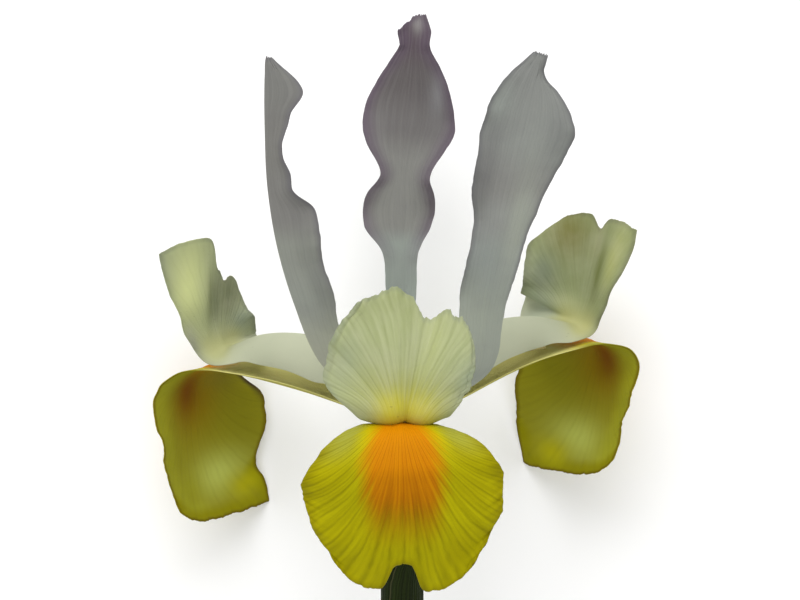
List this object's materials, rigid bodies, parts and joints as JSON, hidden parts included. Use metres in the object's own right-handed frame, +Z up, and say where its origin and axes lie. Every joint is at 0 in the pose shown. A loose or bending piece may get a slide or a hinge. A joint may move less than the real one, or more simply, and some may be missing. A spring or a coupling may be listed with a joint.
{
  "type": "iris flower",
  "caption": "Cut Dutch iris lying down: yellow falls with orange signals, upright grey-lilac standards, cream style arms with crests, on a green stem in its bracts.",
  "frame": {"origin": "middle of the bounding box's foot, on the surface that the flower lies on", "axes": "+Z up from the surface, with the front fall uppermost; +Y from the stem's cut end towards the petals' tips; +X to the right as seen from above with the stem towards the viewer"},
  "size_m": [0.1008, 0.2434, 0.0943],
  "materials": {
    "fall": "satin",
    "standard": "satin",
    "style_arm": "satin",
    "stamen": "matte",
    "perianth_tube": "satin",
    "ovary": "satin",
    "spathe": "matte",
    "stem": "satin"
  },
  "bodies": {
    "root": {"stem": "stem", "spathe_outer": "spathe", "spathe_inner": "spathe", "ovary": "ovary", "perianth_tube": "perianth_tube", "style_column": "style_arm", "fall_front": "fall", "fall_left": "fall", "fall_right": "fall", "standard_back": "standard", "standard_left": "standard", "standard_right": "standard", "style_arm_front": "style_arm", "style_arm_left": "style_arm", "style_arm_right": "style_arm", "stamen_front": "stamen", "stamen_left": "stamen", "stamen_right": "stamen"}
  },
  "joints": []
}
